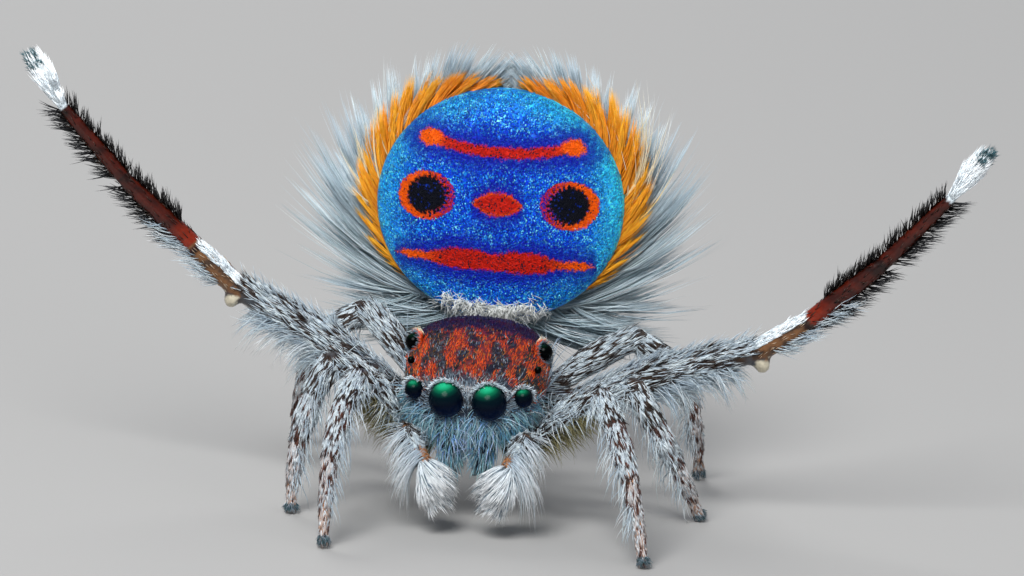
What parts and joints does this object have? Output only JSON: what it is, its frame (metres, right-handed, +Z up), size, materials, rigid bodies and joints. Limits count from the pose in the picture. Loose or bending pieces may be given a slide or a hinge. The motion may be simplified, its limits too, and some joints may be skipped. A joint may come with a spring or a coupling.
{
  "type": "peacock spider",
  "caption": "Male coastal peacock spider in courtship display: blue and red fan raised behind the head, third legs held up, standing on the other legs.",
  "frame": {"origin": "middle of the bounding box on the floor that the six standing feet rest on", "axes": "+Z up, the spider faces -Y, +X toward its left legs"},
  "size_m": [0.011, 0.0052, 0.0049],
  "materials": {
    "white_coat": "long white hair, orange hair at the fan",
    "carapace_scales": "fine scales, red and dark blue on navy",
    "grey_coat": "pale grey hair flecked with black and brown",
    "eye": "wet gloss, near black with a green glow",
    "fan_scales": "iridescent blue scales with red markings",
    "red_brown_coat": "glossy red-brown skin with black bristles",
    "bare_skin": "bare brown skin"
  },
  "bodies": {
    "root": {"abdomen": "white_coat", "carapace": "carapace_scales", "chelicera_left": "grey_coat", "chelicera_right": "grey_coat", "eye_front_middle_left": "eye", "eye_front_middle_right": "eye", "eye_front_side_left": "eye", "eye_front_side_right": "eye", "eye_rear_left": "eye", "eye_rear_right": "eye", "eye_small_left": "eye", "eye_small_right": "eye", "fan": "fan_scales", "leg1_femur_left": "grey_coat", "leg1_femur_right": "grey_coat", "leg1_foot_left": "grey_coat", "leg1_foot_right": "grey_coat", "leg1_tibia_left": "grey_coat", "leg1_tibia_right": "grey_coat", "leg2_femur_left": "grey_coat", "leg2_femur_right": "grey_coat", "leg2_foot_left": "grey_coat", "leg2_foot_right": "grey_coat", "leg2_tibia_left": "grey_coat", "leg2_tibia_right": "grey_coat", "leg3_femur_left": "grey_coat", "leg3_femur_right": "grey_coat", "leg3_foot_left": "red_brown_coat", "leg3_foot_right": "red_brown_coat", "leg3_tibia_left": "red_brown_coat", "leg3_tibia_right": "red_brown_coat", "leg4_femur_left": "grey_coat", "leg4_femur_right": "grey_coat", "leg4_foot_left": "grey_coat", "leg4_foot_right": "grey_coat", "leg4_tibia_left": "grey_coat", "leg4_tibia_right": "grey_coat", "palp_arm_left": "grey_coat", "palp_arm_right": "grey_coat", "palp_brush_left": "white_coat", "palp_brush_right": "white_coat", "pedicel": "bare_skin", "spinnerets": "bare_skin", "sternum": "grey_coat"}
  },
  "joints": []
}
